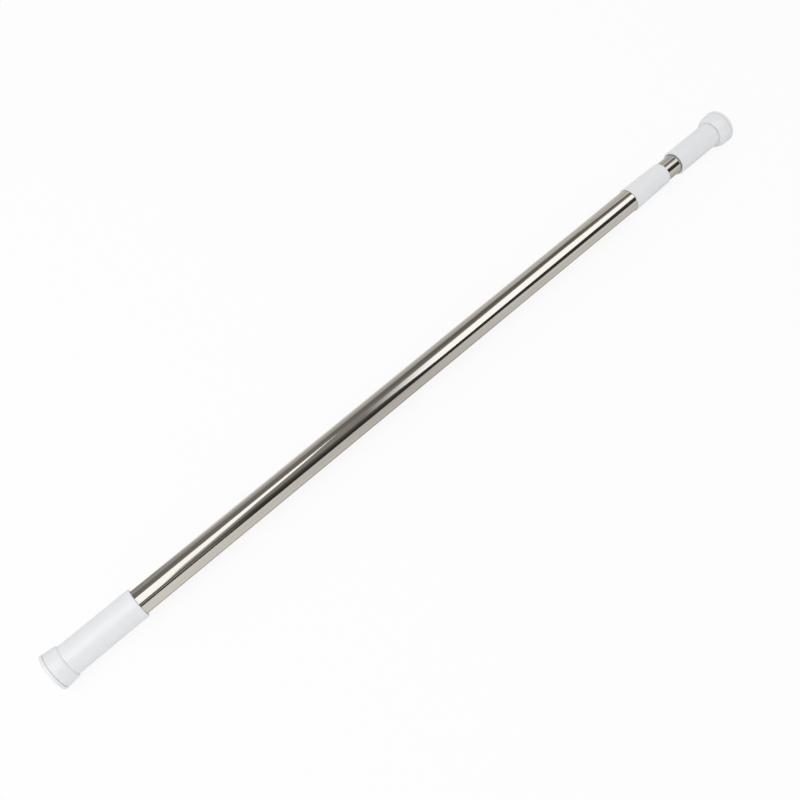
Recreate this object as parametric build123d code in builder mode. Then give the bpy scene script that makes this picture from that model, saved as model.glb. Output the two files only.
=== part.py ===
from build123d import *
import os
from math import hypot, radians, tan

# Extendable spring-tension curtain rod. The axis of the rod is X, with the wall face of the outer tube's
# end at x = 0 and the telescoping end towards +X. Millimetres, +Z up.

# Tubes
outer_tube_od = 22.0
inner_tube_od = 19.5
tube_wall = 0.4
outer_tube_shown = 563.6
inner_tube_shown = 17.8
tube_edge_round = 0.12

# Clearances
press_clearance = 0.05
slide_clearance = 0.15
turn_clearance = 0.1
lock_clearance = 0.25

# End caps: sleeve, flared foot and wall pad
outer_sleeve_shown = 64.6
inner_sleeve_shown = 53.1
sleeve_wall = 2.2
sleeve_mouth_round = 0.7
sleeve_lead_in = 0.6
outer_foot_shell_length = 11.2
outer_foot_rim_od = 31.4
outer_foot_band = 0.8
outer_foot_step = 1.25
outer_flare_bulge = 0.1
inner_foot_shell_length = 12.3
inner_foot_rim_od = 32.7
inner_foot_band = 4.9
inner_foot_step = 1.6
inner_flare_bulge = 0.7
foot_shoulder_round = 0.8
foot_wall = 2.6
pad_proud = 3.0
pad_boss_depth = 3.0
pad_overhang = 0.25
pad_edge_round = 0.8
pad_groove_width = 1.2
pad_groove_depth = 0.6
pad_groove_count = 3
spigot_wall = 1.8
web_setback = 7.0
web_thickness = 3.0
web_hole_od = 5.0

# Guide collar at the mouth of the outer tube
collar_shown = 46.3
collar_step = 0.85
collar_mouth_wall = 0.85
collar_mouth_round = 0.6
collar_spigot_length = 30.0
collar_spigot_lead_in = 0.3

# Screws and washers of the lock spindle
screw_head_od = 7.0
screw_head_height = 2.2
screw_head_round = 0.9
screw_shank_od = 3.5
screw_length = 14.0
screw_recess_width = 0.9
screw_recess_span = 4.2
screw_recess_depth = 1.1
stop_washer_od = 13.0
stop_washer_thickness = 1.0
spring_washer_margin = 0.8
spring_washer_thickness = 1.2

# Twist lock: spindle, cone nut and split collet
lock_end_gap = 1.0
thread_od = 10.0
thread_pitch = 2.5
lock_twist = 180.0
nut_stop_gap = 0.5
nut_rim_length = 3.0
nut_rim_margin = 0.6
nut_cone_length = 10.0
nut_cone_step = 0.4
cone_half_angle = 10.0
cone_seat_gap = 0.3
collet_front_gap = 1.2
collet_finger_length = 18.0
collet_base_length = 8.0
collet_slot_width = 2.2
collet_slot_count = 4
collet_grip_count = 4
collet_grip_pitch = 2.4
collet_grip_width = 1.0
collet_grip_depth = 0.3
collet_hinge_width = 2.5
collet_hinge_depth = 1.0
key_side_clearance = 0.25
journal_od = 12.0
thrust_flange_od = 19.0
thrust_flange_length = 3.0

# Sprung stem inside the inner tube
spring_stroke = 16.0
stroke_margin = 1.5
stem_across_flats = 9.0
bush_flange_length = 2.0
bush_length = 16.0
spring_length = 62.0
spring_od = 16.4
spring_wire = 1.6
spring_wire_sides = 6
spring_turns = 10.0
stop_length = 9.0
stop_nose_length = 4.0
stop_nose_od = 11.8
stop_bore_od = 5.0
roll_depth = 0.5
roll_width = 3.0
roll_flat = 1.4

# Radii that follow from the tubes
outer_r = outer_tube_od / 2
outer_bore_r = outer_r - tube_wall
inner_r = inner_tube_od / 2
inner_bore_r = inner_r - tube_wall
guide_r = inner_r + slide_clearance

# Stations along the rod
outer_foot_length = pad_proud + outer_foot_shell_length
inner_foot_length = pad_proud + inner_foot_shell_length
outer_tube_start = outer_foot_length + web_setback
outer_tube_end = outer_foot_length + outer_sleeve_shown + outer_tube_shown
collar_mouth = outer_tube_end + collar_shown
inner_sleeve_start = collar_mouth + inner_tube_shown
far_face = inner_sleeve_start + inner_sleeve_shown + inner_foot_length
inner_tube_end = far_face - inner_foot_length - web_setback

# Stations of the lock and the sprung stem, from the closed end of the outer tube inwards
lock_feed = thread_pitch * lock_twist / 360
stop_screw_face = outer_tube_start + lock_end_gap
spindle_front = stop_screw_face + screw_head_height + stop_washer_thickness
nut_front = spindle_front + nut_stop_gap
cone_front = nut_front + nut_rim_length
collet_front = cone_front + lock_feed + collet_front_gap
collet_base = collet_front + collet_finger_length
collet_end = collet_base + collet_base_length
flange_front = collet_end + turn_clearance
flange_end = flange_front + thrust_flange_length
bush_front = flange_end + spring_stroke + stroke_margin
inner_tube_start = bush_front + bush_flange_length
bush_end = inner_tube_start + bush_length
stem_end = bush_end + turn_clearance
spring_start = stem_end + spring_washer_thickness
spring_end = spring_start + spring_length
stop_end = spring_end + stop_length
bush_roll = inner_tube_start + bush_length / 2
stop_roll = spring_end + stop_length / 2

# Radii of the lock
nut_rim_r = outer_bore_r - nut_rim_margin
cone_slope = tan(radians(cone_half_angle))
cone_r = nut_rim_r - nut_cone_step
cone_end_r = cone_r - nut_cone_length * cone_slope
seat_gap_r = (lock_feed + cone_seat_gap) * cone_slope
seat_r = cone_r - (collet_front - cone_front) * cone_slope + seat_gap_r
seat_length = nut_cone_length - (collet_front - cone_front) + lock_feed
seat_end_r = seat_r - seat_length * cone_slope
collet_r = outer_bore_r - lock_clearance


def profile(points):
    """Fill a closed outline of (x, radius) points in the plane of the rod's axis."""
    with BuildSketch(Plane.XZ) as outline:
        with BuildLine():
            Polyline(*points, close=True)
        make_face()
    return outline.sketch


def rings(part, x, radius):
    """Give the circular edges of a part at one station and radius."""
    return part.edges().filter_by(
        lambda edge: edge.geom_type == GeomType.CIRCLE
        and abs(edge.arc_center.X - x) < 0.01
        and abs(edge.radius - radius) < 0.01
    )


def save(piece, name):
    """Label a finished piece and write it to its own file."""
    piece.part.label = name
    export_step(piece.part, f"parts/{name}.step")


def rolled_wall(start, end, radius, grooves):
    """List the (x, radius) points of one wall of the inner tube, with its rolled-in grooves."""
    points = [(start, radius)]
    for middle in grooves:
        points.append((middle - roll_width / 2, radius))
        points.append((middle - roll_flat / 2, radius - roll_depth))
        points.append((middle + roll_flat / 2, radius - roll_depth))
        points.append((middle + roll_width / 2, radius))
    points.append((end, radius))
    return points


def make_end_cap(prefix, face, inward, tube_r, sleeve_shown, foot_length, rim_od, band, step_out, bulge):
    """Build the sleeve, the flared foot and the wall pad of one end from its wall face inwards."""
    bore_r = tube_r + press_clearance
    sleeve_r = bore_r + sleeve_wall
    shoulder_r = sleeve_r + step_out
    rim_r = rim_od / 2
    recess_r = rim_r - foot_wall
    recess_floor = pad_proud + pad_boss_depth
    spigot_r = shoulder_r - foot_wall
    core_r = spigot_r - spigot_wall
    web_face = foot_length + web_setback
    mouth = foot_length + sleeve_shown
    boss_r = recess_r - press_clearance
    pad_r = rim_r + pad_overhang

    def at(depth):
        return face + inward * depth

    with BuildPart() as sleeve:
        revolve(profile([
            (at(recess_floor), core_r),
            (at(recess_floor), spigot_r),
            (at(foot_length), spigot_r),
            (at(foot_length), sleeve_r),
            (at(mouth), sleeve_r),
            (at(mouth), bore_r),
            (at(web_face), bore_r),
            (at(web_face), web_hole_od / 2),
            (at(web_face - web_thickness), web_hole_od / 2),
            (at(web_face - web_thickness), core_r),
        ]), axis=Axis.X)
        fillet(rings(sleeve, at(mouth), sleeve_r), radius=sleeve_mouth_round)
        chamfer(rings(sleeve, at(mouth), bore_r), length=sleeve_lead_in)
    save(sleeve, f"{prefix}_sleeve")

    flare_end = pad_proud + band
    flare_length, flare_rise = foot_length - flare_end, rim_r - shoulder_r
    bulge_share = bulge / hypot(flare_length, flare_rise)
    flare_middle = (
        at((flare_end + foot_length) / 2 + flare_rise * bulge_share),
        (rim_r + shoulder_r) / 2 + flare_length * bulge_share,
    )
    with BuildPart() as foot:
        with BuildSketch(Plane.XZ):
            with BuildLine():
                ThreePointArc((at(foot_length), shoulder_r), flare_middle, (at(flare_end), rim_r))
                Polyline(
                    (at(flare_end), rim_r),
                    (at(pad_proud), rim_r),
                    (at(pad_proud), recess_r),
                    (at(recess_floor), recess_r),
                    (at(recess_floor), spigot_r + press_clearance),
                    (at(foot_length), spigot_r + press_clearance),
                    (at(foot_length), shoulder_r),
                )
            make_face()
        revolve(axis=Axis.X)
        fillet(rings(foot, at(foot_length), shoulder_r), radius=foot_shoulder_round)
    save(foot, f"{prefix}_foot")

    with BuildPart() as pad:
        revolve(profile([
            (at(0), 0),
            (at(0), pad_r),
            (at(pad_proud), pad_r),
            (at(pad_proud), boss_r),
            (at(recess_floor), boss_r),
            (at(recess_floor), 0),
        ]), axis=Axis.X)
        fillet(rings(pad, at(0), pad_r), radius=pad_edge_round)
        with BuildSketch(Plane(origin=(at(0), 0, 0), z_dir=(inward, 0, 0))):
            for step in range(pad_groove_count):
                groove_r = recess_r * (step + 1) / (pad_groove_count + 1) + pad_groove_width
                Circle(groove_r + pad_groove_width / 2)
                Circle(groove_r - pad_groove_width / 2, mode=Mode.SUBTRACT)
        extrude(amount=pad_groove_depth, mode=Mode.SUBTRACT)
    save(pad, f"{prefix}_wall_pad")


os.makedirs("parts", exist_ok=True)

# End caps
make_end_cap(
    "outer", 0, 1, outer_r, outer_sleeve_shown,
    outer_foot_length, outer_foot_rim_od, outer_foot_band, outer_foot_step, outer_flare_bulge,
)
make_end_cap(
    "inner", far_face, -1, inner_r, inner_sleeve_shown,
    inner_foot_length, inner_foot_rim_od, inner_foot_band, inner_foot_step, inner_flare_bulge,
)

# Outer tube, with eased edges
with BuildPart() as outer_tube:
    revolve(profile([
        (outer_tube_start, outer_bore_r),
        (outer_tube_start, outer_r),
        (outer_tube_end, outer_r),
        (outer_tube_end, outer_bore_r),
    ]), axis=Axis.X)
    fillet(rings(outer_tube, outer_tube_end, outer_r), radius=tube_edge_round)
save(outer_tube, "outer_tube")

# Guide collar: a tapered bush that stands in the mouth of the outer tube
collar_base_r = outer_r + collar_step
collar_mouth_r = guide_r + collar_mouth_wall
collar_spigot_r = outer_bore_r - press_clearance
with BuildPart() as guide_collar:
    revolve(profile([
        (outer_tube_end - collar_spigot_length, guide_r),
        (outer_tube_end - collar_spigot_length, collar_spigot_r),
        (outer_tube_end, collar_spigot_r),
        (outer_tube_end, collar_base_r),
        (collar_mouth, collar_mouth_r),
        (collar_mouth, guide_r),
    ]), axis=Axis.X)
    fillet(rings(guide_collar, collar_mouth, collar_mouth_r), radius=collar_mouth_round)
    chamfer(
        rings(guide_collar, outer_tube_end - collar_spigot_length, collar_spigot_r),
        length=collar_spigot_lead_in,
    )
save(guide_collar, "guide_collar")

# Inner tube, with two grooves rolled in to hold the bush and the spring stop
with BuildPart() as inner_tube:
    groove_places = (bush_roll, stop_roll)
    outside = rolled_wall(inner_tube_start, inner_tube_end, inner_r, groove_places)
    inside = rolled_wall(inner_tube_start, inner_tube_end, inner_bore_r, groove_places)
    revolve(profile(outside + inside[::-1]), axis=Axis.X)
save(inner_tube, "inner_tube")

# Lock spindle: threaded nose, journal for the collet, thrust flange and six-sided stem
with BuildPart() as lock_spindle:
    revolve(profile([
        (spindle_front, 0),
        (spindle_front, thread_od / 2),
        (collet_base, thread_od / 2),
        (collet_base, journal_od / 2),
        (flange_front, journal_od / 2),
        (flange_front, thrust_flange_od / 2),
        (flange_end, thrust_flange_od / 2),
        (flange_end, 0),
    ]), axis=Axis.X)
    with BuildSketch(Plane(origin=(flange_end, 0, 0), z_dir=(1, 0, 0))):
        RegularPolygon(stem_across_flats / 2, 6, major_radius=False)
    extrude(amount=stem_end - flange_end)
    for start, direction in ((spindle_front, 1), (stem_end, -1)):
        with BuildSketch(Plane(origin=(start, 0, 0), z_dir=(direction, 0, 0))):
            Circle(screw_shank_od / 2 + press_clearance)
        extrude(amount=screw_length, mode=Mode.SUBTRACT)
save(lock_spindle, "lock_spindle")

# Cone nut, keyed in the slots of the collet
with BuildPart() as cone_nut:
    nut_bore_r = thread_od / 2 + slide_clearance
    cone_end = cone_front + nut_cone_length
    revolve(profile([
        (nut_front, nut_bore_r),
        (nut_front, nut_rim_r),
        (cone_front, nut_rim_r),
        (cone_front, cone_r),
        (cone_end, cone_end_r),
        (cone_end, nut_bore_r),
    ]), axis=Axis.X)
    with BuildSketch(Plane(origin=(cone_front, 0, 0), z_dir=(1, 0, 0))):
        with PolarLocations((nut_bore_r + nut_rim_r) / 2, collet_slot_count):
            Rectangle(nut_rim_r - nut_bore_r - slide_clearance, collet_slot_width - 2 * key_side_clearance)
    extrude(amount=nut_cone_length)
save(cone_nut, "cone_nut")

# Split collet, with a tapered mouth, grip rings and thinned finger roots
with BuildPart() as lock_collet:
    seat_end = collet_front + seat_length
    revolve(profile([
        (collet_front, seat_r),
        (collet_front, collet_r),
        (collet_end, collet_r),
        (collet_end, journal_od / 2 + turn_clearance),
        (collet_base, journal_od / 2 + turn_clearance),
        (collet_base, seat_end_r),
        (seat_end, seat_end_r),
    ]), axis=Axis.X)
    with BuildSketch(Plane.XZ):
        for ring in range(collet_grip_count):
            with Locations((collet_front + collet_grip_pitch * (ring + 1), collet_r)):
                Rectangle(collet_grip_width, 2 * collet_grip_depth)
        with Locations((collet_base - collet_hinge_width / 2, collet_r)):
            Rectangle(collet_hinge_width, 2 * collet_hinge_depth)
    revolve(axis=Axis.X, mode=Mode.SUBTRACT)
    with BuildSketch(Plane(origin=(collet_front, 0, 0), z_dir=(1, 0, 0))):
        with PolarLocations(collet_r, collet_slot_count):
            Rectangle(2 * (collet_r - journal_od / 2), collet_slot_width)
    extrude(amount=collet_finger_length, mode=Mode.SUBTRACT)
save(lock_collet, "lock_collet")

# The two like screws of the spindle, with crossed recesses
with BuildPart() as spindle_screws:
    for face, inward in ((stop_screw_face, 1), (spring_start + screw_head_height, -1)):
        under_head = face + inward * screw_head_height
        tip = under_head + inward * screw_length
        revolve(profile([
            (face, 0),
            (face, screw_head_od / 2 - screw_head_round),
            (face + inward * screw_head_round, screw_head_od / 2),
            (under_head, screw_head_od / 2),
            (under_head, screw_shank_od / 2),
            (tip, screw_shank_od / 2),
            (tip, 0),
        ]), axis=Axis.X)
        with BuildSketch(Plane(origin=(face, 0, 0), z_dir=(inward, 0, 0))):
            Rectangle(screw_recess_span, screw_recess_width)
            Rectangle(screw_recess_width, screw_recess_span)
        extrude(amount=screw_recess_depth, mode=Mode.SUBTRACT)
save(spindle_screws, "spindle_screws")

# Washer that keeps the cone nut on the spindle
with BuildPart() as stop_washer:
    with BuildSketch(Plane(origin=(spindle_front, 0, 0), z_dir=(-1, 0, 0))):
        Circle(stop_washer_od / 2)
        Circle(screw_shank_od / 2 + slide_clearance, mode=Mode.SUBTRACT)
    extrude(amount=stop_washer_thickness)
save(stop_washer, "stop_washer")

# Washer at the tail of the stem, pushed on by the spring
with BuildPart() as spring_washer:
    with BuildSketch(Plane(origin=(stem_end, 0, 0), z_dir=(1, 0, 0))):
        Circle(inner_bore_r - spring_washer_margin)
        Circle(screw_shank_od / 2 + slide_clearance, mode=Mode.SUBTRACT)
    extrude(amount=spring_washer_thickness)
save(spring_washer, "spring_washer")

# Guide bush in the inner end of the inner tube, which turns the stem and lets it slide
with BuildPart() as guide_bush:
    bush_r = inner_bore_r - press_clearance
    flange = [(bush_front, 0), (bush_front, inner_r), (inner_tube_start, inner_r)]
    outside = rolled_wall(inner_tube_start, bush_end, bush_r, (bush_roll,))
    revolve(profile(flange + outside + [(bush_end, 0)]), axis=Axis.X)
    with BuildSketch(Plane(origin=(bush_front, 0, 0), z_dir=(1, 0, 0))):
        RegularPolygon(stem_across_flats / 2 + turn_clearance, 6, major_radius=False)
    extrude(amount=bush_end - bush_front, mode=Mode.SUBTRACT)
save(guide_bush, "guide_bush")

# Spring stop, held in the inner tube by the second rolled groove
with BuildPart() as spring_stop:
    stop_r = inner_bore_r - press_clearance
    bore = stop_bore_od / 2
    nose_end = spring_end - stop_nose_length
    nose = [(nose_end, bore), (nose_end, stop_nose_od / 2), (spring_end, stop_nose_od / 2)]
    outside = rolled_wall(spring_end, stop_end, stop_r, (stop_roll,))
    revolve(profile(nose + outside + [(stop_end, bore)]), axis=Axis.X)
save(spring_stop, "spring_stop")

# Pressure spring: wire wound about the axis, with its ends ground flat
with BuildPart() as pressure_spring:
    coil_r = (spring_od - spring_wire) / 2
    coil_pitch = spring_length / spring_turns
    with BuildLine() as wire_path:
        Helix(coil_pitch, spring_length, coil_r, center=(spring_start, 0, 0), direction=(1, 0, 0))
    with BuildSketch(Plane(origin=wire_path.line @ 0, z_dir=wire_path.line % 0)):
        RegularPolygon(spring_wire / 2, spring_wire_sides)
    sweep(is_frenet=True)
    with BuildSketch(Plane(origin=(spring_start, 0, 0), z_dir=(1, 0, 0))):
        Circle(spring_od)
    extrude(amount=spring_length, mode=Mode.INTERSECT)
save(pressure_spring, "pressure_spring")
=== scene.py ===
import logging
from dataclasses import dataclass, field
from enum import Enum
from math import radians
from typing import Protocol

import bpy
import numpy as np
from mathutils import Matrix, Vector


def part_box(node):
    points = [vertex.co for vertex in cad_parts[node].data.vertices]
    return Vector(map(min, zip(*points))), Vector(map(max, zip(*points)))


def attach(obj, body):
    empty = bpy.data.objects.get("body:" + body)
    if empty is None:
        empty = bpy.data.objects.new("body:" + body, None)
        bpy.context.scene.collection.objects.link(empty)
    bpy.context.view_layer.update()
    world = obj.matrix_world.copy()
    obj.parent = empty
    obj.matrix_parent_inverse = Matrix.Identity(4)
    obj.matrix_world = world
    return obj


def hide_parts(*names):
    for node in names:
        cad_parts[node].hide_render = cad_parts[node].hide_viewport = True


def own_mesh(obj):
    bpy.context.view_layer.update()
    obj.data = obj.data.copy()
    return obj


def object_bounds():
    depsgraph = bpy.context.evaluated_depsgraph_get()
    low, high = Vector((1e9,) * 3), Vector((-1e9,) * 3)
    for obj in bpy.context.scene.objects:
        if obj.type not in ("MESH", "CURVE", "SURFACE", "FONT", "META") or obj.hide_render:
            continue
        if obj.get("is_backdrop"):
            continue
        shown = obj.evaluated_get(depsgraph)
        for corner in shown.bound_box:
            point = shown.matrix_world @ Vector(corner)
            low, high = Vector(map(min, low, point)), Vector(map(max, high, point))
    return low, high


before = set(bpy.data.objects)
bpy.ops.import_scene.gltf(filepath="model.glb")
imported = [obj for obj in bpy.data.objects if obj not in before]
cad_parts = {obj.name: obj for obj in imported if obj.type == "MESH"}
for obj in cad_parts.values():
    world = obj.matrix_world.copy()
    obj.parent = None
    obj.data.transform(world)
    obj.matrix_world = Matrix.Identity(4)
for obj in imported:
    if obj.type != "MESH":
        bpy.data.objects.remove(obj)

LOG = logging.getLogger("curtain_rod")
MM = 0.001
WHITE = "#FFFFFF"

# The points round each turned piece, and the angle in degrees between faces past which their edge is sharp.
SEGMENTS = 192
CREASE = 30.0

# The length in mm under which two points are one, or a point is on the rod's axis.
TINY = 1e-6

# How far from the ends of a straight run its shading is held, and the shortest run that needs it, in mm.
SUPPORT = 0.3
LONG_RUN = 4 * SUPPORT

# How far each groove rolled into the inner tube is from the end of the bush or stop that it holds, in mm.
BUSH_ROLL = 8.0
STOP_ROLL = 4.5

# A corner of an outline: x, the radius from the axis and the corner's own rounding, in mm.
Corner = tuple[float, float, float]


class Body(Enum):
    """The rigid bodies of the rod that new pieces ride on."""

    OUTER = "outer_rod"
    SPINDLE = "lock_spindle"
    INNER = "inner_rod"


class Slot(Enum):
    """The names of the record's material slots."""

    STEEL = "polished_steel"
    PLASTIC = "white_plastic"
    RUBBER = "white_rubber"
    SPRING = "spring_steel"


class Axis(Enum):
    """The axes of the rod's frame, by their socket names."""

    X = "X"
    Y = "Y"
    Z = "Z"


# Meshes


def rounded(corners: list[Corner], steps: int = 7) -> np.ndarray:
    """Round the corners of a closed outline.

    Each corner P with unit directions u and v to its neighbours and half angle h gets the arc of radius q
    about P + (u + v) q / (|u + v| sin h), from P + u q / tan h to P + v q / tan h. With a and b the ways from
    the arc's centre to its ends and t the angle between them, its point at share s is the centre plus
    (a sin((1 - s) t) + b sin(s t)) / sin t. A corner of radius 0 stays sharp.

    Args:
        corners: The outline's corners.
        steps: The number of steps along each arc.

    Returns:
        The outline's points as an array of (x, radius), in mm.
    """
    table = np.array(corners, float)
    point, q = table[:, :2], table[:, 2:]
    before, after = np.roll(point, 1, axis=0) - point, np.roll(point, -1, axis=0) - point
    u = before / np.linalg.norm(before, axis=1, keepdims=True)
    v = after / np.linalg.norm(after, axis=1, keepdims=True)
    half = np.arccos(np.clip((u * v).sum(axis=1, keepdims=True), -1, 1)) / 2
    middle = u + v
    middle /= np.maximum(np.linalg.norm(middle, axis=1, keepdims=True), TINY)
    centre = point + middle * q / np.sin(half)
    a = (point + u * q / np.tan(half) - centre)[:, None]
    b = (point + v * q / np.tan(half) - centre)[:, None]
    turn = (np.pi - 2 * half)[:, None]
    share = np.linspace(0, 1, steps + 1)[None, :, None]
    arc = (np.sin((1 - share) * turn) * a + np.sin(share * turn) * b) / np.sin(turn)
    outline = (centre[:, None] + arc).reshape(-1, 2)
    step = np.linalg.norm(outline - np.roll(outline, 1, axis=0), axis=1)
    return outline[step > TINY]


def supported(outline: np.ndarray) -> np.ndarray:
    """Add a point near each end of every long straight run of a closed outline.

    The smooth shading of a rounded edge then ends at the added point, so that a straight tube mirrors as a
    straight one.

    Args:
        outline: The outline's points as (x, radius), in mm.

    Returns:
        The points with the added ones.
    """
    after = np.roll(outline, -1, axis=0)
    span = np.linalg.norm(after - outline, axis=1, keepdims=True)
    step = (after - outline) * SUPPORT / span
    off_axis = outline[:, 1] + after[:, 1] > TINY
    long_run = (span[:, 0] > LONG_RUN) & off_axis
    points = np.stack([outline, outline + step, after - step], axis=1)
    keep = np.stack([np.ones_like(long_run), long_run, long_run], axis=1)
    return points[keep]


def grid_faces(rows: int, columns: int, wrap_rows: bool) -> np.ndarray:
    """List the quads of a grid of points that closes on itself along its columns.

    Args:
        rows: The number of rows of points.
        columns: The number of points in each row.
        wrap_rows: Whether the last row joins the first.

    Returns:
        An array of four point numbers for each quad.
    """
    i, j = np.meshgrid(np.arange(rows if wrap_rows else rows - 1), np.arange(columns), indexing="ij")
    below, beside = (i + 1) % rows, (j + 1) % columns
    quads = [i * columns + j, below * columns + j, below * columns + beside, i * columns + beside]
    return np.stack(quads, axis=-1).reshape(-1, 4)


def fan_faces(ring: np.ndarray, pole: int) -> list[list[int]]:
    """List the triangles between a closed ring of points and a pole, in the ring's own direction."""
    return np.stack([ring, np.roll(ring, -1), np.full(len(ring), pole)], axis=-1).tolist()


def mesh_piece(name: str, points: np.ndarray, faces: list[list[int]]) -> bpy.types.Object:
    """Put points and faces into a new smooth-shaded object at the origin.

    Args:
        name: The name of the piece.
        points: The points, in mm.
        faces: The point numbers of each face.

    Returns:
        The new object, in metres.
    """
    mesh = bpy.data.meshes.new(name)
    mesh.from_pydata((points * MM).tolist(), [], faces)
    mesh.polygons.foreach_set("use_smooth", np.ones(len(mesh.polygons), bool))
    mesh.set_sharp_from_angle(angle=radians(CREASE))
    mesh.update()
    piece = bpy.data.objects.new(name, mesh)
    bpy.context.scene.collection.objects.link(piece)
    return piece


def turned(name: str, outline: np.ndarray) -> bpy.types.Object:
    """Turn a closed outline round the rod's axis.

    Point (i, j) is (x_i, r_i cos a_j, r_i sin a_j) with a_j the j-th share of a full turn. The outline is
    made to run anticlockwise, so that the faces look outwards. Where it runs along the axis, one pole point
    closes each end.

    Args:
        name: The name of the piece.
        outline: The outline's points as (x, radius), in mm.

    Returns:
        The new object.
    """
    outline = supported(outline)
    x, r = outline.T
    if (x * np.roll(r, -1) - np.roll(x, -1) * r).sum() < 0:
        outline = outline[::-1]
    on_axis = np.flatnonzero(outline[:, 1] < TINY)
    solid = len(on_axis) > 0
    if solid:
        first = on_axis[1] if on_axis[1] == on_axis[0] + 1 else on_axis[0]
        outline = np.roll(outline, -first, axis=0)
    rings = outline[1:-1] if solid else outline
    angle = np.linspace(0, 2 * np.pi, SEGMENTS, endpoint=False)
    x, r = np.broadcast_to(rings[:, :1], (len(rings), SEGMENTS)), rings[:, 1:]
    points = np.stack([x, r * np.cos(angle), r * np.sin(angle)], axis=-1).reshape(-1, 3)
    faces = grid_faces(len(rings), SEGMENTS, not solid).tolist()
    if solid:
        count = len(points)
        ring = np.arange(SEGMENTS)
        faces += fan_faces(ring, count) + fan_faces(count - 1 - ring, count + 1)
        points = np.vstack([points, [[outline[0, 0], 0, 0], [outline[-1, 0], 0, 0]]])
    return mesh_piece(name, points, faces)


def station(node: str) -> tuple[float, float, float]:
    """Read where a turned node starts and ends along the rod and its largest radius, in mm."""
    low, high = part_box(node)
    return low[0] / MM, high[0] / MM, high[2] / MM


# Finishes


def linear(code: str) -> tuple[float, float, float, float]:
    """Turn an sRGB colour into a linear one, by the standard's straight start and power curve.

    Args:
        code: The colour as a hex code.

    Returns:
        The linear colour with full alpha.
    """
    srgb = np.array([int(code[i : i + 2], 16) for i in (1, 3, 5)]) / 255
    red, green, blue = np.where(srgb <= 0.04045, srgb / 12.92, ((srgb + 0.055) / 1.055) ** 2.4)
    return float(red), float(green), float(blue), 1.0


def put(
    tree: bpy.types.NodeTree, kind: str, sockets: dict[str | int, object] | None = None, **settings: object
) -> bpy.types.Node:
    """Add a node to a tree.

    Args:
        tree: The node tree.
        kind: The node's type.
        sockets: The value or the linked output for each input, by name or number.
        settings: The node's own properties.

    Returns:
        The new node.
    """
    node = tree.nodes.new(kind)
    for key, value in settings.items():
        setattr(node, key, value)
    for key, value in (sockets or {}).items():
        if isinstance(value, bpy.types.NodeSocket):
            tree.links.new(value, node.inputs[key])
        else:
            node.inputs[key].default_value = value
    return node


def empty_material(name: str) -> tuple[bpy.types.Material, bpy.types.NodeTree]:
    """Make a material with an empty node tree.

    Args:
        name: The material's name.

    Returns:
        The material and its node tree.
    """
    material = bpy.data.materials.new(name)
    material.use_nodes = True
    material.node_tree.nodes.clear()
    return material, material.node_tree


@dataclass(frozen=True)
class PolishedStainless:
    """Stainless steel strip, rolled to a tube, welded and buffed.

    The eye gets a warm grey mirror. Low ridges from the rolls run along the tube and fray the edges of what
    it mirrors into streaks, and fine buffing lines blur it a little. The real ridges and lines are finer than
    these, which are widened until they show in the picture.
    """

    name: str = "polished_stainless_steel"
    colour: str = "#C2BDB4"
    tint: str = "#BAB5AC"
    roughness: tuple[float, float] = (0.05, 0.1)
    ridge_mm: tuple[float, float] = (420.0, 1.8)
    ridge_depth_mm: float = 0.022
    line_mm: tuple[float, float] = (60.0, 0.5)
    cloud_mm: float = 90.0
    detail: float = 2.0
    polish_span: tuple[float, float] = (0.12, 0.4)

    def streaks(
        self, tree: bpy.types.NodeTree, place: bpy.types.NodeSocket, size: tuple[float, float]
    ) -> bpy.types.NodeSocket:
        """Stretch a noise along the tube.

        Args:
            tree: The node tree.
            place: The point's own coordinates.
            size: The length and width of a streak, in mm.

        Returns:
            The noise's value.
        """
        along, across = 1 / (size[0] * MM), 1 / (size[1] * MM)
        stretch = put(tree, "ShaderNodeMapping", {"Vector": place, "Scale": (along, across, across)})
        noise = put(tree, "ShaderNodeTexNoise", {
            "Vector": stretch.outputs[0], "Scale": 1.0, "Detail": self.detail,
        })
        return noise.outputs[0]

    def material(self) -> bpy.types.Material:
        """Build the material: ridges drive the bump, lines and clouds the roughness, clouds the tint.

        Returns:
            The material.
        """
        material, tree = empty_material(self.name)
        place = put(tree, "ShaderNodeTexCoord").outputs["Object"]
        ridges = self.streaks(tree, place, self.ridge_mm)
        lines = self.streaks(tree, place, self.line_mm)
        cloud = put(tree, "ShaderNodeTexNoise", {
            "Vector": place, "Scale": 1 / (self.cloud_mm * MM), "Detail": self.detail,
        })
        polish = put(tree, "ShaderNodeMath", {0: lines, 1: cloud.outputs[0]}, operation="MULTIPLY")
        rough = put(tree, "ShaderNodeMapRange", {
            "Value": polish.outputs[0], "From Min": self.polish_span[0], "From Max": self.polish_span[1],
            "To Min": self.roughness[0], "To Max": self.roughness[1],
        })
        colour = put(tree, "ShaderNodeMix", {
            "Factor": cloud.outputs[0], "A": linear(self.colour), "B": linear(self.tint),
        }, data_type="RGBA")
        bump = put(tree, "ShaderNodeBump", {
            "Height": ridges, "Strength": 1.0, "Distance": self.ridge_depth_mm * MM,
        })
        shader = put(tree, "ShaderNodeBsdfPrincipled", {
            "Base Color": colour.outputs["Result"], "Metallic": 1.0,
            "Roughness": rough.outputs[0], "Normal": bump.outputs[0],
        })
        put(tree, "ShaderNodeOutputMaterial", {"Surface": shader.outputs[0]})
        return material


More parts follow.
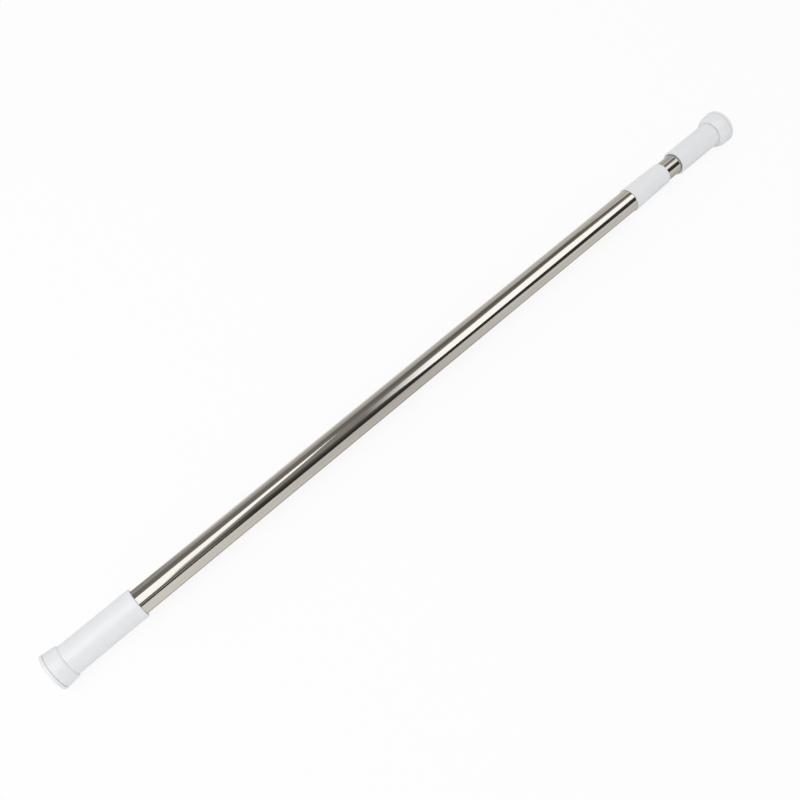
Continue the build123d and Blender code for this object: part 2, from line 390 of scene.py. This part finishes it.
@dataclass(frozen=True)
class MouldedPlastic:
    """White polypropylene from a polished mould.

    The eye gets a soft gloss over a faint depth, with faint flow marks and a fine parting line. The white
    pigment scatters all colours alike. The real skin is finer than this one, which is drawn coarse enough to
    show close by.
    """

    name: str = "moulded_white_polypropylene"
    colour: str = "#EDEEF1"
    tint: str = "#E8EAEC"
    roughness: tuple[float, float] = (0.38, 0.43)
    ior: float = 1.49
    flow_mm: float = 14.0
    flow_detail: float = 3.0
    flow_span: tuple[float, float] = (0.3, 0.7)
    skin_mm: float = 1.6
    skin_depth_mm: float = 0.012
    skin_detail: float = 2.0
    skin_strength: float = 0.35
    parting_mm: float = 0.12
    parting_height: float = 2.0
    scatter: float = 0.06
    scatter_mm: float = 1.0
    scatter_colours: tuple[float, float, float] = (1.0, 1.0, 1.0)

    def material(self) -> bpy.types.Material:
        """Build the material: wide noise for flow marks, fine noise for the skin, a ridge near z = 0.

        Returns:
            The material.
        """
        material, tree = empty_material(self.name)
        place = put(tree, "ShaderNodeTexCoord").outputs["Object"]
        flow = put(tree, "ShaderNodeTexNoise", {
            "Vector": place, "Scale": 1 / (self.flow_mm * MM), "Detail": self.flow_detail,
        })
        skin = put(tree, "ShaderNodeTexNoise", {
            "Vector": place, "Scale": 1 / (self.skin_mm * MM), "Detail": self.skin_detail,
        })
        height = put(tree, "ShaderNodeSeparateXYZ", {"Vector": place}).outputs["Z"]
        away = put(tree, "ShaderNodeMath", {0: height}, operation="ABSOLUTE")
        ridge = put(tree, "ShaderNodeMapRange", {
            "Value": away.outputs[0], "From Min": 0.0, "From Max": self.parting_mm * MM,
            "To Min": 1.0, "To Max": 0.0,
        }, interpolation_type="SMOOTHSTEP")
        relief = put(tree, "ShaderNodeMath", {
            0: ridge.outputs[0], 1: self.parting_height, 2: skin.outputs[0],
        }, operation="MULTIPLY_ADD")
        bump = put(tree, "ShaderNodeBump", {
            "Height": relief.outputs[0], "Strength": self.skin_strength,
            "Distance": self.skin_depth_mm * MM,
        })
        rough = put(tree, "ShaderNodeMapRange", {
            "Value": flow.outputs[0], "From Min": self.flow_span[0], "From Max": self.flow_span[1],
            "To Min": self.roughness[0], "To Max": self.roughness[1],
        })
        colour = put(tree, "ShaderNodeMix", {
            "Factor": flow.outputs[0], "A": linear(self.colour), "B": linear(self.tint),
        }, data_type="RGBA")
        shader = put(tree, "ShaderNodeBsdfPrincipled", {
            "Base Color": colour.outputs["Result"], "Roughness": rough.outputs[0], "IOR": self.ior,
            "Normal": bump.outputs[0], "Subsurface Weight": self.scatter,
            "Subsurface Scale": self.scatter_mm * MM, "Subsurface Radius": self.scatter_colours,
        })
        put(tree, "ShaderNodeOutputMaterial", {"Surface": shader.outputs[0]})
        return material


@dataclass(frozen=True)
class GrainedFinish:
    """A plain finish with a fine grain: rubber, nylon, plated steel or wire, by its values.

    The real grain of most of these is too fine to show, and is drawn as coarse as it needs to show close by.
    """

    name: str
    colour: str
    tint: str
    metallic: float
    roughness: tuple[float, float]
    grain_mm: float
    grain_depth_mm: float
    grain_detail: float = 4.0
    grain_span: tuple[float, float] = (0.3, 0.7)
    grain_strength: float = 0.4

    def material(self) -> bpy.types.Material:
        """Build the material: one noise drives the tint, the roughness and a shallow bump.

        Returns:
            The material.
        """
        material, tree = empty_material(self.name)
        place = put(tree, "ShaderNodeTexCoord").outputs["Object"]
        grain = put(tree, "ShaderNodeTexNoise", {
            "Vector": place, "Scale": 1 / (self.grain_mm * MM), "Detail": self.grain_detail,
        })
        colour = put(tree, "ShaderNodeMix", {
            "Factor": grain.outputs[0], "A": linear(self.colour), "B": linear(self.tint),
        }, data_type="RGBA")
        rough = put(tree, "ShaderNodeMapRange", {
            "Value": grain.outputs[0], "From Min": self.grain_span[0], "From Max": self.grain_span[1],
            "To Min": self.roughness[0], "To Max": self.roughness[1],
        })
        bump = put(tree, "ShaderNodeBump", {
            "Height": grain.outputs[0], "Strength": self.grain_strength,
            "Distance": self.grain_depth_mm * MM,
        })
        shader = put(tree, "ShaderNodeBsdfPrincipled", {
            "Base Color": colour.outputs["Result"], "Roughness": rough.outputs[0],
            "Metallic": self.metallic, "Normal": bump.outputs[0],
        })
        put(tree, "ShaderNodeOutputMaterial", {"Surface": shader.outputs[0]})
        return material


@dataclass
class Finishes:
    """All the materials of the rod, each built once."""

    steel: bpy.types.Material = field(default_factory=lambda: PolishedStainless().material())
    plastic: bpy.types.Material = field(default_factory=lambda: MouldedPlastic().material())
    # Rubber pressed in a matt mould: a dull white whose fine grain spreads what shine there is.
    rubber: bpy.types.Material = field(default_factory=lambda: GrainedFinish(
        "soft_white_rubber", "#F1F1F2", "#EBEBEC", 0.0, (0.45, 0.6), 0.4, 0.02).material())
    # Nylon moulded without pigment: a creamy, waxy surface that is a little cloudy.
    nylon: bpy.types.Material = field(default_factory=lambda: GrainedFinish(
        "natural_moulded_nylon", "#E6DFCF", "#DDD5C3", 0.0, (0.35, 0.5), 0.8, 0.01).material())
    # Steel with a bright zinc plate: a cool grey metal with soft patches where the crystals change.
    zinc: bpy.types.Material = field(default_factory=lambda: GrainedFinish(
        "bright_zinc_plate", "#C3C7CB", "#B5B9BE", 1.0, (0.22, 0.4), 1.5, 0.004).material())
    # Spring wire drawn through a die and left as it is: a dark grey metal with a dull shine.
    wire: bpy.types.Material = field(default_factory=lambda: GrainedFinish(
        "drawn_spring_wire", "#85868A", "#75767A", 1.0, (0.25, 0.45), 0.3, 0.005).material())


def dress(
    piece: bpy.types.Object, node: str, body: Body, finish: bpy.types.Material
) -> bpy.types.Object:
    """Put a new piece in the place of a node of the frame.

    Args:
        piece: The new piece.
        node: The node that it stands for.
        body: The body that it rides on.
        finish: Its material.

    Returns:
        The piece.
    """
    piece.data.materials.append(finish)
    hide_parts(node)
    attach(piece, body.value)
    return piece


# Pieces


class Assembly(Protocol):
    """What main asks of each sub-assembly of the rod."""

    def build(self, finishes: Finishes) -> list[bpy.types.Object]:
        """Build the sub-assembly's pieces and dress them."""


@dataclass
class Tube:
    """A thin steel tube with eased ends and, on the inner one, rolled-in grooves. Sizes in mm."""

    node: str
    body: Body
    wall: float = 0.4
    edge: float = 0.15
    grooves: tuple[float, ...] = ()
    groove_depth: float = 0.5
    groove_width: float = 3.0
    groove_flat: float = 1.4
    groove_round: float = 0.4

    def wall_line(self, start: float, end: float, radius: float) -> list[Corner]:
        """List one wall's corners from start to end, with its grooves.

        Args:
            start: Where the tube starts along the rod.
            end: Where it ends.
            radius: The wall's radius.

        Returns:
            The corners in order.
        """
        half, flat = self.groove_width / 2, self.groove_flat / 2
        low, bend = radius - self.groove_depth, self.groove_round
        line = [(start, radius, self.edge)]
        for x in self.grooves:
            line += [(x - half, radius, bend), (x - flat, low, bend)]
            line += [(x + flat, low, bend), (x + half, radius, bend)]
        return line + [(end, radius, self.edge)]

    def build(self, finishes: Finishes) -> list[bpy.types.Object]:
        """Turn the tube's wall and give it its polish.

        Args:
            finishes: The materials of the rod.

        Returns:
            The tube alone.
        """
        start, end, radius = station(self.node)
        outside = self.wall_line(start, end, radius)
        inside = self.wall_line(start, end, radius - self.wall)
        piece = turned(f"{self.node}_polished", rounded(outside + inside[::-1]))
        return [dress(piece, self.node, self.body, finishes.steel)]


@dataclass
class EndCap:
    """The sleeve, flared foot and wall pad at one end. Sizes in mm, depths from the wall face."""

    prefix: str
    body: Body
    inward: int
    tube_radius: float
    foot_step: float
    foot_band: float
    flare_bulge: float
    joint_round: float
    joint_gap: float
    shoulder_round: float
    flare_steps: int = 14
    flare_share: float = 0.85
    tube_gap: float = 0.05
    foot_wall: float = 2.6
    spigot_wall: float = 1.8
    spigot_round: float = 0.2
    web_setback: float = 7.0
    web_thickness: float = 3.0
    web_hole: float = 2.5
    mouth_round: float = 0.7
    lead_in: float = 0.6
    lead_round: float = 0.1
    rim_round: float = 0.4
    pad_round: float = 0.8
    pad_back_round: float = 0.3
    pad_gap: float = 0.45
    pad_gap_depth: float = 1.1
    boss_round: float = 0.2
    groove_count: int = 3
    groove_width: float = 1.2
    groove_depth: float = 0.6
    groove_round: float = 0.25

    def wall_face(self) -> float:
        """Read where the pad's wall face is along the rod."""
        return station(f"{self.prefix}_wall_pad")[0 if self.inward > 0 else 1]

    def depths(self, part: str) -> tuple[float, float, float]:
        """Read how deep a part of the cap reaches.

        Args:
            part: The part's name without the cap's own prefix.

        Returns:
            Its nearest and furthest depth from the wall face, and its radius.
        """
        start, end, radius = station(f"{self.prefix}_{part}")
        face = self.wall_face()
        near, far = sorted((self.inward * (start - face), self.inward * (end - face)))
        return near, far, radius

    def place(self, corners: list[Corner]) -> np.ndarray:
        """Round an outline given by depth and set it at this end of the rod.

        Args:
            corners: The outline's corners, with the depth as x.

        Returns:
            The outline's points as (x, radius).
        """
        outline = rounded(corners)
        outline[:, 0] = self.wall_face() + self.inward * outline[:, 0]
        return outline

    def build_sleeve(self, finishes: Finishes) -> bpy.types.Object:
        """Turn the sleeve: its spigot, shoulder, barrel, rounded mouth, bore and web.

        Args:
            finishes: The materials of the rod.

        Returns:
            The sleeve.
        """
        front, mouth, radius = self.depths("sleeve")
        shoulder = self.depths("foot")[1]
        barrel = shoulder + self.joint_gap
        web = shoulder + self.web_setback
        bore = self.tube_radius + self.tube_gap
        spigot = radius + self.foot_step - self.foot_wall
        core = spigot - self.spigot_wall
        outline = self.place([
            (front, core, 0), (front, spigot, self.spigot_round), (barrel, spigot, 0),
            (barrel, radius, self.joint_round), (mouth, radius, self.mouth_round),
            (mouth, bore + self.lead_in, self.lead_round), (mouth - self.lead_in, bore, 0),
            (web, bore, 0), (web, self.web_hole, 0), (web - self.web_thickness, self.web_hole, 0),
            (web - self.web_thickness, core, 0),
        ])
        piece = turned(f"{self.prefix}_sleeve_moulded", outline)
        return dress(piece, f"{self.prefix}_sleeve", self.body, finishes.plastic)

    def build_foot(self, finishes: Finishes) -> bpy.types.Object:
        """Turn the foot: a flared shell from its rounded shoulder to its rim.

        The flare goes from the rim band to the shoulder along the chord between them, plus 4 s (1 - s) times
        the bulge along the chord's normal at share s of the chord. Its points stop short of the shoulder, to
        leave room for the rounding there.

        Args:
            finishes: The materials of the rod.

        Returns:
            The foot.
        """
        rim, shoulder, rim_radius = self.depths("foot")
        floor = self.depths("wall_pad")[1]
        shoulder_radius = self.depths("sleeve")[2] + self.foot_step
        bore = shoulder_radius - self.foot_wall + self.tube_gap
        recess = rim_radius - self.foot_wall
        first = np.array([rim + self.foot_band, rim_radius])
        chord = np.array([shoulder, shoulder_radius]) - first
        normal = np.array([-chord[1], chord[0]]) / np.hypot(*chord)
        share = np.linspace(0, self.flare_share, self.flare_steps)[:, None]
        flare = first + share * chord + 4 * self.flare_bulge * share * (1 - share) * normal
        outline = self.place([
            (rim, recess, 0), (rim, rim_radius, self.rim_round), *((x, r, 0) for x, r in flare),
            (shoulder, shoulder_radius, self.shoulder_round),
            (shoulder, bore, 0), (floor, bore, 0), (floor, recess, 0),
        ])
        piece = turned(f"{self.prefix}_foot_moulded", outline)
        return dress(piece, f"{self.prefix}_foot", self.body, finishes.plastic)

    def build_pad(self, finishes: Finishes) -> bpy.types.Object:
        """Turn the wall pad: a disc with ring grooves in its face, a gap at the foot and a boss behind.

        Args:
            finishes: The materials of the rod.

        Returns:
            The pad.
        """
        back, _, rim_radius = self.depths("foot")
        _, floor, radius = self.depths("wall_pad")
        recess = rim_radius - self.foot_wall
        boss = recess - self.tube_gap
        bend, bottom = self.groove_round, self.groove_depth
        face: list[Corner] = [(0, 0, 0)]
        for number in range(1, self.groove_count + 1):
            ring = recess * number / (self.groove_count + 1) + self.groove_width
            low, high = ring - self.groove_width / 2, ring + self.groove_width / 2
            face += [(0, low, bend), (bottom, low, bend), (bottom, high, bend), (0, high, bend)]
        edge, neck = back - self.pad_gap, radius - self.pad_gap_depth
        outline = self.place(face + [
            (0, radius, self.pad_round), (edge, radius, self.pad_back_round), (edge, neck, 0),
            (back, neck, 0), (back, boss, 0), (floor, boss, self.boss_round), (floor, 0, 0),
        ])
        piece = turned(f"{self.prefix}_pad_soft", outline)
        return dress(piece, f"{self.prefix}_wall_pad", self.body, finishes.rubber)

    def build(self, finishes: Finishes) -> list[bpy.types.Object]:
        """Build the three pieces of the cap."""
        return [self.build_sleeve(finishes), self.build_foot(finishes), self.build_pad(finishes)]


@dataclass
class GuideCollar:
    """The tapered bush in the mouth of the outer tube. Sizes in mm."""

    node: str = "guide_collar"
    bore: float = 9.9
    spigot: float = 10.55
    spigot_round: float = 0.3
    base_round: float = 0.35
    mouth_wall: float = 0.85
    mouth_round: float = 0.6
    lip_round: float = 0.12

    def build(self, finishes: Finishes) -> list[bpy.types.Object]:
        """Turn the collar: its thin spigot, its shoulder on the tube and the taper to its mouth.

        Args:
            finishes: The materials of the rod.

        Returns:
            The collar alone.
        """
        start, mouth, radius = station(self.node)
        shoulder = station("outer_tube")[1]
        outline = rounded([
            (start, self.bore, 0), (start, self.spigot, self.spigot_round), (shoulder, self.spigot, 0),
            (shoulder, radius, self.base_round), (mouth, self.bore + self.mouth_wall, self.mouth_round),
            (mouth, self.bore, self.lip_round),
        ])
        piece = turned("guide_collar_moulded", outline)
        return [dress(piece, self.node, Body.OUTER, finishes.plastic)]


@dataclass
class PressureSpring:
    """The wound spring behind the spindle, with closed end turns. Sizes in mm."""

    node: str = "pressure_spring"
    outside: float = 8.2
    wire: float = 1.6
    turns: float = 11.0
    closed: float = 1.2
    stroke: float = 16.0
    steps_per_turn: int = 48
    sides: int = 14

    def build(self, finishes: Finishes) -> list[bpy.types.Object]:
        """Carry a round wire along a helix that lies flat for its end turns.

        With t the turn count, the wire's centre is at (x(t), R cos 2 pi t, R sin 2 pi t). The advance x
        climbs by one wire per turn within the closed turns and evenly between them. The wire's ring there is
        the centre plus the wire's radius times (cos k radial + sin k binormal), with k round a full turn and
        the binormal as tangent cross radial. A pole point closes each end of the wire, and no point is let
        past the spring's own ends.

        Args:
            finishes: The materials of the rod.

        Returns:
            The spring alone.
        """
        start, end, _ = station(self.node)
        radius, half = self.outside - self.wire / 2, self.wire / 2
        turn = np.linspace(0, self.turns, int(self.turns * self.steps_per_turn) + 1)
        knots = [0, self.closed, self.turns - self.closed, self.turns]
        first, last = start + half, end - half
        climb = self.closed * self.wire
        advance = np.interp(turn, knots, [first, first + climb, last - climb, last])
        angle = 2 * np.pi * turn
        centre = np.stack([advance, radius * np.cos(angle), radius * np.sin(angle)], axis=-1)
        tangent = np.gradient(centre, axis=0)
        tangent /= np.linalg.norm(tangent, axis=1, keepdims=True)
        radial = np.stack([np.zeros_like(angle), np.cos(angle), np.sin(angle)], axis=-1)
        binormal = np.cross(tangent, radial)
        around = np.linspace(0, 2 * np.pi, self.sides, endpoint=False)[None, :, None]
        outward = np.cos(around) * radial[:, None] + np.sin(around) * binormal[:, None]
        rings = centre[:, None] + half * outward
        count = len(turn) * self.sides
        points = np.vstack([rings.reshape(-1, 3), centre[:1], centre[-1:]])
        points[:, 0] = np.clip(points[:, 0], start, end)
        faces = grid_faces(len(turn), self.sides, False)[:, ::-1].tolist()
        ring = np.arange(self.sides)
        faces += fan_faces(ring, count) + fan_faces(count - 1 - ring, count + 1)
        piece = mesh_piece("pressure_spring_wound", points, faces)
        dress(piece, self.node, Body.SPINDLE, finishes.wire)
        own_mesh(piece)
        return [piece]


@dataclass
class LockParts:
    """The lock's own solids, which keep their shape and get their real finish."""

    nylon: tuple[str, ...] = ("lock_collet", "cone_nut", "lock_spindle", "guide_bush", "spring_stop")
    zinc: tuple[str, ...] = ("stop_washer", "spindle_screws", "spring_washer")

    def build(self, finishes: Finishes) -> list[bpy.types.Object]:
        """Give each solid of the lock its material.

        Args:
            finishes: The materials of the rod.

        Returns:
            The solids.
        """
        solids = []
        for names, finish in ((self.nylon, finishes.nylon), (self.zinc, finishes.zinc)):
            for name in names:
                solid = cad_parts[name]
                solid.data.materials.clear()
                solid.data.materials.append(finish)
                solids.append(solid)
        return solids


# Studio


@dataclass(frozen=True)
class Ramp:
    """A level that changes evenly between two places on an axis, in metres, and not beyond them."""

    axis: Axis
    places: tuple[float, float]
    levels: tuple[float, float]


@dataclass(frozen=True)
class Card:
    """A flat glowing card that only reflections see: a painted reflection of a softbox, a dark cloth or a
    wall, which lights nothing. Corners in metres.
    """

    name: str
    corners: tuple[tuple[float, float, float], ...]
    strength: float
    ramps: tuple[Ramp, ...] = ()
    colour: str = WHITE

    def build(self) -> bpy.types.Object:
        """Hang the card and let it glow with its strength times all its ramps.

        Returns:
            The card's object, declared as part of the stage.
        """
        mesh = bpy.data.meshes.new(self.name)
        mesh.from_pydata(self.corners, [], [list(range(len(self.corners)))])
        card = bpy.data.objects.new(self.name, mesh)
        bpy.context.scene.collection.objects.link(card)
        material, tree = empty_material(self.name)
        point = put(tree, "ShaderNodeTexCoord").outputs["Object"]
        place = put(tree, "ShaderNodeSeparateXYZ", {"Vector": point}).outputs
        glow: float | bpy.types.NodeSocket = self.strength
        for ramp in self.ramps:
            level = put(tree, "ShaderNodeMapRange", {
                "Value": place[ramp.axis.value], "From Min": ramp.places[0], "From Max": ramp.places[1],
                "To Min": ramp.levels[0], "To Max": ramp.levels[1],
            })
            product = put(tree, "ShaderNodeMath", {0: glow, 1: level.outputs[0]}, operation="MULTIPLY")
            glow = product.outputs[0]
        shine = put(tree, "ShaderNodeEmission", {"Color": linear(self.colour), "Strength": glow})
        put(tree, "ShaderNodeOutputMaterial", {"Surface": shine.outputs[0]})
        mesh.materials.append(material)
        # Hidden from camera, lamp and shadow rays: the card's glow is a painted reflection only.
        card.visible_camera = card.visible_diffuse = card.visible_shadow = False
        card.visible_transmission = card.visible_volume_scatter = False
        card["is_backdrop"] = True
        return card


def level_card(
    name: str, height: float, outline: tuple[tuple[float, float], ...], strength: float,
    ramps: tuple[Ramp, ...] = (), colour: str = WHITE,
) -> Card:
    """Make a card that lies level.

    Args:
        name: The card's name.
        height: Its height, in metres.
        outline: Its corners as (x, y), in metres.
        strength: Its glow.
        ramps: The ramps that its glow follows.
        colour: Its colour.

    Returns:
        The card.
    """
    return Card(name, tuple((x, y, height) for x, y in outline), strength, ramps, colour)


def hang_cards() -> list[Card]:
    """List the glowing cards that paint what the polished tubes mirror, from the two softboxes' highlight to
    the paper beside the rod.

    Returns:
        The cards, in the order in which they are hung.
    """
    # The tints of the painted highlight and of the painted dark bands.
    daylight, cloth = "#F7FAFF", "#FFFAF5"
    # The sides of the room, the heights of its parts, and the right end cap's stretch of the rod.
    left, right, near, far = -2.5, 3.5, -1.97, 1.5
    softbox, wall_foot, paper, shade = 1.0, -0.01, -0.016, -0.0155
    cap_start, cap_end = 0.69, 0.95
    # Where the cards on the paper start beside the rod, and where the near one is painted darker with the
    # rod's shade.
    near_start, far_start, shaded = -0.002, 0.012, (-0.024, -0.006)
    near_left, near_right = (left, near, 1.225), (right, near, 0.885)
    return [
        # Two glowing cards overhead paint the softboxes' highlight, the bright line along the tube, with a
        # break between them.
        level_card("left_softbox_highlight", softbox, (
            (-1.3, -0.62), (0.027, -0.62), (0.08, -0.26), (0.2, -0.09), (0.393, 0.17), (0.489, 0.45),
            (-1.3, 0.45),
        ), 2.0, colour=daylight),
        level_card("right_softbox_highlight", softbox, (
            (0.51, -0.22), (0.575, -0.33), (0.655, -0.45), (0.74, -0.62), (0.81, -0.73), (0.94, -0.755),
            (1.26, -0.63), (1.54, -0.45), (1.7, -0.36), (1.7, 0.0), (1.22, 0.21), (1.12, 0.305),
            (0.855, 0.22), (0.51, 0.15),
        ), 2.0, (
            Ramp(Axis.X, (0.54, 0.72), (0.17, 1.0)), Ramp(Axis.X, (1.36, 1.6), (1.0, 0.58)),
        ), daylight),
        # Dim cards paint the dark bands beside the line, as the reflection of the dark cloth round the
        # softboxes, with a gap at the left.
        Card("ceiling", (
            (left, -0.88, 1.05), (right, -0.88, 1.05), (right, 0.53, 1.2), (left, 0.53, 1.2),
        ), 1.0, (
            Ramp(Axis.Y, (-0.62, -0.25), (0.1, 0.38)), Ramp(Axis.X, (0.085, 0.26), (2.5, 1.0)),
        ), cloth),
        Card("near_flag", (
            (left, -0.86, 1.1), (right, -0.86, 1.1), near_right, near_left,
        ), 0.05, colour=cloth),
        level_card("near_gap", 0.97, (
            (-1.0, -0.89), (0.31, -0.89), (0.31, -1.07), (-1.0, -1.07),
        ), 0.6, (Ramp(Axis.X, (0.14, 0.27), (1.0, 0.08)),)),
        # The wall and the paper on the near side give the pale lower band, with the rod's shade painted
        # darker on the paper.
        Card("near_wall", (
            near_left, near_right, (right, near, wall_foot), (left, near, wall_foot),
        ), 1.09, (
            Ramp(Axis.X, (0.035, 0.945), (1.06, 0.7)), Ramp(Axis.X, (0.945, 1.4), (1.0, 1.3)),
        )),
        level_card("near_paper", paper, (
            (left, near), (right, near), (right, near_start), (left, near_start),
        ), 1.07, (
            Ramp(Axis.X, (0.08, 0.37), (1.07, 0.74)), Ramp(Axis.X, (0.37, 0.5), (1.0, 1.15)),
            Ramp(Axis.Y, shaded, (1.0, 0.12)),
        )),
        # Painted shade of the right end cap on the near paper.
        level_card("near_shade", shade, (
            (cap_start, -0.1), (cap_end, -0.1), (cap_end, near_start), (cap_start, near_start),
        ), 0.74, (Ramp(Axis.Y, shaded, (1.0, 0.4)),)),
        # The cloth, wall and paper on the far side give the upper bands, out to the pale edge. The paper is
        # dimmer towards the left end, and the shade of the collar and of the right end cap is painted on it.
        Card("far_flag", (
            (left, 0.5, 1.22), (right, 0.5, 1.22), (right, 4.0, 1.35), (left, 4.0, 1.35),
        ), 0.27, (Ramp(Axis.X, (0.63, 1.21), (1.0, 0.72)),), cloth),
        Card("far_wall", (
            (left, far, 0.08), (0.45, far, 0.745), (1.57, far, 1.1), (right, far, 1.8),
            (right, far, wall_foot), (left, far, wall_foot),
        ), 1.0, (
            Ramp(Axis.X, (0.08, 1.4), (0.55, 0.95)), Ramp(Axis.Z, (0.0, 0.8), (1.06, 0.68)),
        )),
        level_card("far_paper", paper, (
            (-1.0, 0.04), (0.1, 0.04), (0.16, 0.1), (2.5, 0.1), (2.5, far), (-1.0, far),
        ), 0.74, (Ramp(Axis.X, (0.07, 0.15), (0.5, 1.0)),)),
        level_card("far_edge", paper, (
            (-1.0, far_start), (2.5, far_start), (2.5, 0.065), (0.16, 0.065), (0.1, 0.04), (-1.0, 0.04),
        ), 1.12, (Ramp(Axis.X, (0.6, 0.66), (1.0, 0.85)),)),
        # Painted shade of the right end cap on the far paper.
        level_card("far_shade", shade, (
            (cap_start, far_start), (cap_end, far_start), (cap_end, 0.15), (cap_start, 0.15),
        ), 0.8),
        # A glowing card paints a wall that closes the room at the right, on the far side.
        Card("right_wall", (
            (1.75, 0.78, 1.3), (1.75, far, 1.3), (1.75, far, wall_foot), (1.75, 0.78, wall_foot),
        ), 1.0, (Ramp(Axis.Z, (0.7, 1.1), (0.66, 0.95)),)),
    ]


@dataclass
class Studio:
    """The white floor, the soft light, the cards and the camera.

    Lengths are in metres unless named otherwise, and angles in degrees.
    """

    floor_size: float = 12.0
    floor_shadow: float = 0.12
    paper: str = "#F8F8F8"
    ambient: float = 0.725
    sky: float = 0.962
    lamp_place: tuple[float, float, float] = (-0.3, 0.1, 1.5)
    lamp_tilt: float = -12.0
    lamp_size: float = 1.2
    lamp_watts: float = 7.0
    camera_mm: tuple[float, float, float] = (147.76, -225.78, 676.38)
    azimuth: float = -41.965
    elevation: float = 66.612
    lens_mm: float = 38.88
    sensor_mm: float = 36.0
    near_clip: float = 0.01

    def seen_white(self, tree: bpy.types.NodeTree) -> bpy.types.NodeSocket:
        """Tell the rays that show the background from those that light the rod.

        Args:
            tree: The node tree.

        Returns:
            1 for rays from the camera, from a mirror or through glass, and else 0.
        """
        path = put(tree, "ShaderNodeLightPath").outputs
        seen = path["Is Camera Ray"]
        for kind in ("Is Glossy Ray", "Is Transmission Ray"):
            seen = put(tree, "ShaderNodeMath", {0: seen, 1: path[kind]}, operation="MAXIMUM").outputs[0]
        return seen

    def build_floor(self, level: float) -> None:
        """Lay the floor under the feet: white where it is seen, with the rod's soft shadow kept in part.

        Args:
            level: The floor's height.
        """
        half = self.floor_size / 2
        corners = [(-half, -half, level), (half, -half, level), (half, half, level), (-half, half, level)]
        mesh = bpy.data.meshes.new("floor")
        mesh.from_pydata(corners, [], [[0, 1, 2, 3]])
        floor = bpy.data.objects.new("floor", mesh)
        bpy.context.scene.collection.objects.link(floor)
        material, tree = empty_material("white_paper")
        paper = put(tree, "ShaderNodeBsdfDiffuse", {"Color": linear(self.paper)})
        bright = put(tree, "ShaderNodeEmission", {"Color": linear(WHITE), "Strength": 1.0})
        share = put(tree, "ShaderNodeMath", {
            0: self.seen_white(tree), 1: 1 - self.floor_shadow,
        }, operation="MULTIPLY")
        mix = put(tree, "ShaderNodeMixShader", {
            0: share.outputs[0], 1: paper.outputs[0], 2: bright.outputs[0],
        })
        put(tree, "ShaderNodeOutputMaterial", {"Surface": mix.outputs[0]})
        mesh.materials.append(material)
        floor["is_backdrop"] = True

    def build_world(self) -> None:
        """Fill the room with even light, as white as the far floor where it is seen."""
        world = bpy.data.worlds.new("studio")
        bpy.context.scene.world = world
        world.use_nodes = True
        tree = world.node_tree
        tree.nodes.clear()
        strength = put(tree, "ShaderNodeMapRange", {
            "Value": self.seen_white(tree), "To Min": self.ambient, "To Max": self.sky,
        })
        back = put(tree, "ShaderNodeBackground", {"Color": linear(WHITE), "Strength": strength.outputs[0]})
        put(tree, "ShaderNodeOutputWorld", {"Surface": back.outputs[0]})

    def build_lamp(self) -> None:
        """Hang one soft lamp that mirrors don't show, because the cards with the painted highlight stand for
        its face.
        """
        light = bpy.data.lights.new("key_lamp", "AREA")
        light.shape = "DISK"
        light.size = self.lamp_size
        light.energy = self.lamp_watts
        lamp = bpy.data.objects.new("key_lamp", light)
        lamp.location = self.lamp_place
        lamp.rotation_euler = (0, radians(self.lamp_tilt), 0)
        lamp.visible_glossy = False
        bpy.context.scene.collection.objects.link(lamp)

    def build_camera(self) -> None:
        """Set the camera where the photograph was taken from."""
        data = bpy.data.cameras.new("camera")
        data.lens = self.lens_mm
        data.sensor_width = self.sensor_mm
        data.clip_start = self.near_clip
        camera = bpy.data.objects.new("camera", data)
        camera.location = [value * MM for value in self.camera_mm]
        camera.rotation_euler = (radians(90 - self.elevation), 0, radians(self.azimuth))
        bpy.context.scene.collection.objects.link(camera)
        bpy.context.scene.camera = camera

    def build(self, level: float) -> None:
        """Set up the whole studio.

        Args:
            level: The floor's height.
        """
        bpy.context.scene.view_settings.view_transform = "Standard"
        self.build_floor(level)
        self.build_world()
        self.build_lamp()
        for card in hang_cards():
            card.build()
        self.build_camera()


def main() -> None:
    """Build the rod piece by piece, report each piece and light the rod."""
    logging.basicConfig(level=logging.INFO, format="%(name)s: %(message)s")
    cad_box = [list(map(float, corner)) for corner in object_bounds()]
    finishes = Finishes()
    rolls = (station("guide_bush")[1] - BUSH_ROLL, station("spring_stop")[1] - STOP_ROLL)
    assemblies: list[Assembly] = [
        Tube("outer_tube", Body.OUTER),
        GuideCollar(),
        EndCap(
            "outer", Body.OUTER, inward=1, tube_radius=11.0, foot_step=1.25, foot_band=0.8, flare_bulge=0.1,
            joint_round=0.0, joint_gap=0.0, shoulder_round=1.2,
        ),
        Tube("inner_tube", Body.INNER, grooves=rolls),
        EndCap(
            "inner", Body.INNER, inward=-1, tube_radius=9.75, foot_step=1.6, foot_band=4.9, flare_bulge=0.7,
            joint_round=0.3, joint_gap=0.45, shoulder_round=0.8,
        ),
        PressureSpring(),
        LockParts(),
    ]
    for assembly in assemblies:
        for piece in assembly.build(finishes):
            LOG.info("%s: %d faces, %s", piece.name, len(piece.data.polygons), piece.data.materials[0].name)
    Studio().build(cad_box[0][2])


if __name__ == "__main__":
    main()
